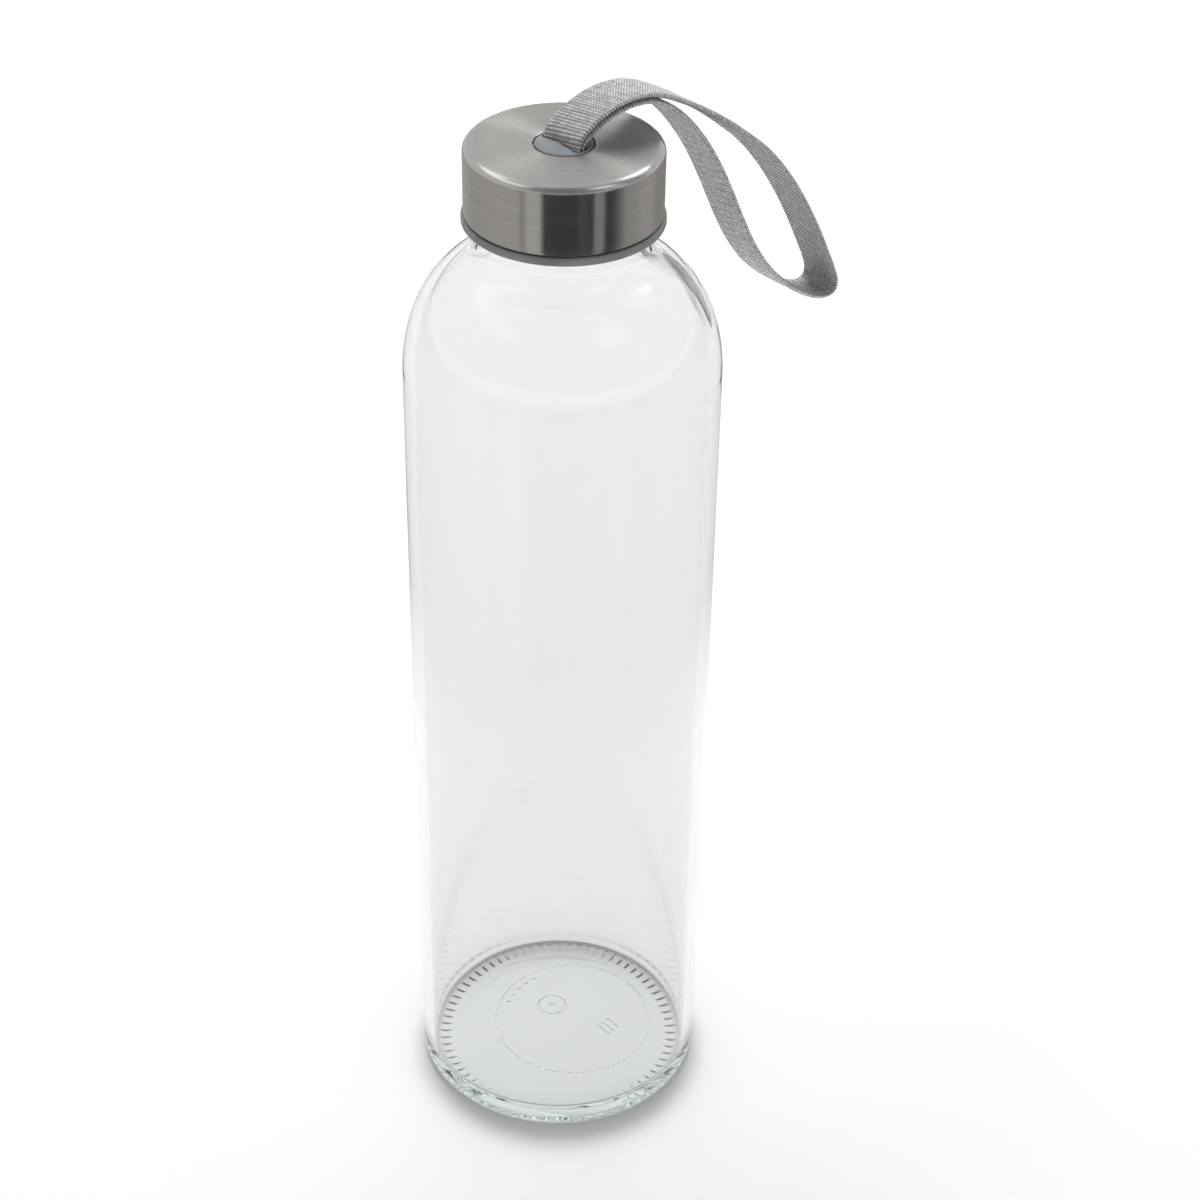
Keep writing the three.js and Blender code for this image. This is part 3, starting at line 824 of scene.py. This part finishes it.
def steelMaterial(name, colour, roughness, topRoughness, lines, stretch, anisotropy):
    material, tree, shader = shadedMaterial(name)
    setInputs(shader, Metallic=1.0, Roughness=roughness, Anisotropic=anisotropy, Anisotropic_Rotation=0.25)
    tangent = addNode(tree, "ShaderNodeTangent", direction_type="RADIAL", axis="Z")
    link(tree, tangent.outputs[0], shader.inputs["Tangent"])
    place = addNode(tree, "ShaderNodeTexCoord").outputs["Object"]
    brush = placeGroup(tree, brushedLines, place, Lines=lines, Stretch=stretch)
    marks = placeGroup(tree, handlingMarks, place, Smudge=0.12, Scratch=0.22)
    lines = mathNode(tree, "ADD", mathNode(tree, "MULTIPLY", brush.outputs["Fine"], 0.6),
                     mathNode(tree, "MULTIPLY", brush.outputs["Coarse"], 0.4))
    dark = tuple(c * 0.9 for c in colour) + (1,)
    light = tuple(min(c * 1.08, 1) for c in colour) + (1,)
    base = mixColour(tree, rangeNode(tree, lines, 0.35, 0.65, 0, 1), dark, light)
    base = mixColour(tree, mathNode(tree, "MULTIPLY", marks.outputs["Smudges"], 0.04), base,
                     tuple(c * 0.7 for c in colour) + (1,))
    link(tree, base, shader.inputs["Base Color"])
    facing = addNode(tree, "ShaderNodeNewGeometry")
    upward = addNode(tree, "ShaderNodeSeparateXYZ")
    link(tree, facing.outputs["True Normal"], upward.inputs[0])
    top = rangeNode(tree, upward.outputs["Z"], 0.9, 1.0, roughness, topRoughness, True)
    gloss = mathNode(tree, "ADD", mathNode(tree, "ADD", top, rangeNode(tree, lines, 0.35, 0.65, 0.03, -0.03)),
                     mathNode(tree, "MULTIPLY", marks.outputs["Smudges"], 0.012))
    link(tree, gloss, shader.inputs["Roughness"])
    scratches = mathNode(tree, "MULTIPLY", marks.outputs["Scratches"], 0.3)
    addBump(tree, shader, mathNode(tree, "SUBTRACT", lines, scratches), 0.1, 0.00001)
    return material


greyPlastic = plasticMaterial("greyPlastic", (0.26, 0.275, 0.272), 0.38, 6)
buttonPlastic = plasticMaterial("buttonPlastic", (0.20, 0.217, 0.226), 0.33, 7, 0.1)
spunSteel = steelMaterial("spunSteel", (0.60, 0.58, 0.56), 0.19, 0.3, 14, 3.5, 0.94)
pinSteel = steelMaterial("pinSteel", (0.58, 0.58, 0.57), 0.25, 0.25, 9, 3, 0.3)

liner = turnedPiece("capLiner", linerOutline(), 192)
pushOut(liner, "thread", threadSet["height"] * mm, linerThread)
smoothShade(liner, 35)
setOn(liner, greyPlastic, "cap", "grey_plastic", "cap_liner")
shell = turnedPiece("capShell", shellOutline(), 192)
smoothShade(shell, 35)
setOn(shell, spunSteel, "cap", "spun_steel", "cap_shell")
print("cap made")


# Seal ring, between the glass rim and the liner
sealSet = {"inner": 13.0, "outer": 16.6, "round": 0.35, "bead": 0.12, "beadHalf": 0.5}


def sealOutline():
    size = sealSet
    low, high = sealLow.z / mm, sealHigh.z / mm
    inner, outer, edge = size["inner"], size["outer"], size["round"]
    outline = arcPoints(outer - edge, low + edge, edge, -90, 0, 5)
    outline += arcPoints(outer - edge, high - edge, edge, 0, 90, 5)
    outline += arcPoints(inner + edge, high - edge, edge, 90, 180, 5)
    outline += arcPoints(inner + edge, low + edge, edge, 180, 270, 5)
    middle, half = (inner + outer) / 2, size["beadHalf"]
    outline += [(middle - half, low), (middle, low + size["bead"]), (middle + half, low)]
    outline.append(outline[0])
    return [(r * mm, z * mm) for r, z in outline]


seal = turnedPiece("sealRing", sealOutline(), 128)
smoothShade(seal, 50)
setOn(seal, plasticMaterial("silicone", (0.80, 0.80, 0.77), 0.5, 3), "seal", "silicone", "seal_ring")
print("seal made")


# Button: a domed disc that turns in the cap, with a slot for the strap
buttonSet = {
    "radius": 5.8, "flangeRadius": 7.5, "flangeHeight": 1.4, "flangeEdge": 0.2, "dome": 0.6, "domeEdge": 0.15,
    "slot": (3.4, 10.6), "slotRound": 1.1, "slotCut": 12, "edge": 0.13,
}


def buttonOutline():
    size = buttonSet
    low = buttonLow.z / mm
    flangeTop = low + size["flangeHeight"]
    flange, edge = size["flangeRadius"], size["flangeEdge"]
    r, dome = size["radius"], size["dome"]
    domeTop = capTop / mm + dome
    domeRadius = (r * r + dome * dome) / (2 * dome)
    edgeAngle = math.degrees(math.acos((r - size["domeEdge"]) / domeRadius))
    outline = [(0, low), (flange - edge, low), (flange, low + edge), (flange, flangeTop - edge),
               (flange - edge, flangeTop), (r, flangeTop), (r, domeTop - dome - 0.1)]
    outline += arcPoints(0, domeTop - domeRadius, domeRadius, edgeAngle, 90, 14)
    return [(r * mm, z * mm) for r, z in outline]


button = turnedPiece("strapButton", buttonOutline(), 128)
slotX, slotY = buttonSet["slot"]
clearSelection()
bpy.ops.mesh.primitive_cube_add(size=1, location=(0, 0, capTop))
slotCutter = bpy.context.object
slotCutter.name = "slotCutter"
slotCutter.scale = (slotX * mm, slotY * mm, buttonSet["slotCut"] * mm)
bpy.ops.object.transform_apply(location=True, rotation=False, scale=True)
bpy.ops.object.mode_set(mode="EDIT")
bpy.ops.mesh.select_all(action="DESELECT")
bpy.ops.object.mode_set(mode="OBJECT")
for edge in slotCutter.data.edges:
    a, b = (slotCutter.data.vertices[v].co for v in edge.vertices)
    edge.select = abs(a.z - b.z) > 1 * mm
bpy.ops.object.mode_set(mode="EDIT")
bpy.ops.mesh.bevel(offset=buttonSet["slotRound"] * mm, segments=6)
bpy.ops.object.mode_set(mode="OBJECT")
applyModifier(button, "BOOLEAN", operation="DIFFERENCE", object=slotCutter, solver="EXACT")
bpy.data.objects.remove(slotCutter)
bevelLimit = math.radians(50)
applyModifier(button, "BEVEL", width=buttonSet["edge"] * mm, segments=3, limit_method="ANGLE",
              angle_limit=bevelLimit)
smoothShade(button, 40)
setOn(button, buttonPlastic, "anchor", "button_plastic", "strap_button")
print("button made")


# Pin: the bar that the strap goes round, under the button
pinSet = {"radius": 1.1, "length": 9.6, "round": 0.2}
clearSelection()
bpy.ops.mesh.primitive_cylinder_add(
    vertices=48, radius=pinSet["radius"] * mm, depth=pinSet["length"] * mm,
    location=(0, 0, (pinLow.z + pinHigh.z) / 2), rotation=(math.radians(90), 0, 0))
pin = bpy.context.object
pin.name = "strapPin"
bpy.ops.object.transform_apply(location=True, rotation=True, scale=True)
applyModifier(pin, "BEVEL", width=pinSet["round"] * mm, segments=3, limit_method="ANGLE",
              angle_limit=bevelLimit)
smoothShade(pin, 40)
setOn(pin, pinSteel, "anchor", "pin_steel", "strap_pin")
print("pin made")


# Studio
studioSet = {
    "floorSize": 8, "floorColour": (0.9, 0.9, 0.9, 1), "front": -42,  # degrees about the vertical
    "worldLow": 0.95, "worldHigh": 0.75, "worldFill": 0.4,
    "keyPlace": (-0.05, 0.84, 1.65), "keySize": 1.1, "keyPower": 31,
    "nearEdge": (0.15, 0.22), "farEdge": 3.0, "cardLift": 0.0005,
    "nearColour": (0.9, 0.9, 0.9, 1), "floorTint": (1, 0.985, 0.965),
    "skyFar": 1.6, "skyRise": (36, 42), "skyFall": (50, 60), "skyTint": (1, 1, 1), "bounces": 32,
}


def fromFront(right, away, up):  # a place given as the camera sees it: to its right, away from it, up
    turn = math.radians(studioSet["front"])
    c, s = math.cos(turn), math.sin(turn)
    return (right * c - away * s, right * s + away * c, up)


clearSelection()
bpy.ops.mesh.primitive_plane_add(size=studioSet["floorSize"], location=(0, 0, 0))
floor = bpy.context.object
floor.name = "studioFloor"
floorMaterial, floorTree, floorShader = shadedMaterial("studioFloor")
setInputs(floorShader, Base_Color=studioSet["floorColour"], Roughness=0.9, Specular_IOR_Level=0.1)
floor.data.materials.append(floorMaterial)


# Cards that only polished surfaces see: they give the steel its bands and its bright edge.
def reflectionCard(name, outline, colourOf):
    card = turnedPiece(name, outline, 96)
    material, tree = newMaterial(name)
    out = addNode(tree, "ShaderNodeOutputMaterial")
    glow = addNode(tree, "ShaderNodeEmission")
    link(tree, glow.outputs[0], out.inputs["Surface"])
    place = addNode(tree, "ShaderNodeTexCoord")
    turned = addNode(tree, "ShaderNodeMapping")
    setInputs(turned, Rotation=(0, 0, math.radians(-studioSet["front"])))
    split = addNode(tree, "ShaderNodeSeparateXYZ")
    link(tree, place.outputs["Object"], turned.inputs["Vector"])
    link(tree, turned.outputs[0], split.inputs[0])
    towards = mathNode(tree, "MULTIPLY", split.outputs["Y"], -1)
    angle = mathNode(tree, "ARCTAN2", split.outputs["X"], towards)
    turn = rangeNode(tree, angle, -math.pi, math.pi, 0, 1)
    link(tree, colourOf(tree, turn, place.outputs["Object"]), glow.inputs["Color"])
    material.cycles.emission_sampling = "NONE"
    card.data.materials.append(material)
    for kind in ("camera", "diffuse", "transmission", "volume_scatter", "shadow"):
        setattr(card, "visible_" + kind, False)
    return card


def levelRamp(tree, turn, levels, tint):
    ramp = addNode(tree, "ShaderNodeValToRGB")
    stops = ramp.color_ramp.elements
    while len(stops) > 1:
        stops.remove(stops[-1])
    for i, (degrees, level) in enumerate(levels):
        stop = stops[0] if i == 0 else stops.new((degrees + 180) / 360)
        stop.position = (degrees + 180) / 360
        stop.color = tuple(level * t for t in tint) + (1,)
    link(tree, turn, ramp.inputs[0])
    return ramp.outputs[0]


# Each level is (degrees to the right of the camera's side, brightness).
floorLevels = [
    (-180, 0.42), (-150, 0.44), (-120, 0.40), (-95, 0.42), (-60, 0.42), (-51, 0.42), (-48, 0.27),
    (-45, 0.27), (-42, 0.48), (-27, 0.48), (-22, 0.02), (-5, 0.01), (15, 0.01), (18, 0.04), (25, 0.04),
    (27, 0.01), (33, 0.01), (35, 0.25), (45, 0.25), (47, 0.01), (56, 0.02), (64, 0.12), (74, 0.32),
    (88, 0.33), (92, 0.38), (116, 0.40), (128, 0.28), (140, 0.32), (150, 0.44), (180, 0.42),
]
dimLevels = [
    (-180, 0.66), (-70, 0.62), (-40, 0.36), (-20, 0.24), (22, 0.24), (44, 0.3), (66, 0.6), (76, 0.35),
    (96, 0.3), (108, 0.62), (180, 0.66),
]
brightLevels = [
    (-180, 0.66), (-166, 0.8), (-156, 1.5), (-126, 1.5), (-112, 1.4), (-90, 1.35), (-56, 1.3), (-42, 0.3),
    (-20, 0.24), (18, 0.24), (30, 0.4), (44, 1.35), (64, 1.45), (74, 0.35), (96, 0.3), (106, 0.7),
    (124, 1.2), (134, 3.0), (141, 8.0), (148, 3.0), (157, 0.8), (180, 0.66),
]


def floorGlow(tree, turn, place):  # bands by direction, but plain close to the bottle
    reach = addNode(tree, "ShaderNodeVectorMath", operation="LENGTH")
    link(tree, place, reach.inputs[0])
    beyond = rangeNode(tree, reach.outputs["Value"], *studioSet["nearEdge"], 0, 1, True)
    bands = levelRamp(tree, turn, floorLevels, studioSet["floorTint"])
    return mixColour(tree, beyond, studioSet["nearColour"], bands)


def skyGlow(tree, turn, place):  # a bright belt that fades out above and below
    split = addNode(tree, "ShaderNodeSeparateXYZ")
    link(tree, place, split.inputs[0])
    height = split.outputs["Z"]
    low, full, fall, end = (capTop + studioSet["skyFar"] * math.sin(math.radians(a))
                            for a in studioSet["skyRise"] + studioSet["skyFall"])
    belt = mathNode(tree, "MULTIPLY", rangeNode(tree, height, low, full, 0, 1, True),
                    rangeNode(tree, height, fall, end, 1, 0, True))
    dim = levelRamp(tree, turn, dimLevels, studioSet["skyTint"])
    return mixColour(tree, belt, dim, levelRamp(tree, turn, brightLevels, studioSet["skyTint"]))


floorOutline = [(r, studioSet["cardLift"]) for r in (studioSet["nearEdge"][0], studioSet["farEdge"])]
skyOutline = [(r, z + capTop) for r, z in arcPoints(0, 0, studioSet["skyFar"], 3, 89, 24)]
floorCard = reflectionCard("floorCard", floorOutline, floorGlow)
skyCard = reflectionCard("skyCard", skyOutline, skyGlow)

key = bpy.data.lights.new("overheadKey", "AREA")
key.shape = "SQUARE"
key.size = studioSet["keySize"]
key.energy = studioSet["keyPower"]
keyLamp = bpy.data.objects.new("overheadKey", key)
bpy.context.scene.collection.objects.link(keyLamp)
keyLamp.location = fromFront(*studioSet["keyPlace"])
keyLamp.rotation_euler = keyLamp.location.to_track_quat("Z", "Y").to_euler()
keyLamp.visible_glossy = False
keyLamp.visible_transmission = False

world = bpy.data.worlds.new("studioWorld")
bpy.context.scene.world = world
world.use_nodes = True
worldTree = world.node_tree
worldTree.nodes.clear()
worldOut = addNode(worldTree, "ShaderNodeOutputWorld")
worldLight = addNode(worldTree, "ShaderNodeBackground")
worldPlace = addNode(worldTree, "ShaderNodeTexCoord")
worldSplit = addNode(worldTree, "ShaderNodeSeparateXYZ")
link(worldTree, worldPlace.outputs["Generated"], worldSplit.inputs[0])
worldLevel = rangeNode(worldTree, worldSplit.outputs["Z"], 0.0, 0.9,
                       studioSet["worldLow"], studioSet["worldHigh"], True)
worldPath = addNode(worldTree, "ShaderNodeLightPath")
fill = studioSet["worldFill"]
worldColour = mixColour(worldTree, worldPath.outputs["Is Diffuse Ray"], worldLevel, (fill, fill, fill, 1))
link(worldTree, worldColour, worldLight.inputs["Color"])
link(worldTree, worldLight.outputs[0], worldOut.inputs["Surface"])
bpy.context.scene.view_settings.view_transform = "Standard"
# Light that is caught in the thick glass of the base turns many times before it gets out.
for kind in ("max", "glossy", "transmission"):
    setattr(bpy.context.scene.cycles, kind + "_bounces", studioSet["bounces"])
print("studio set")
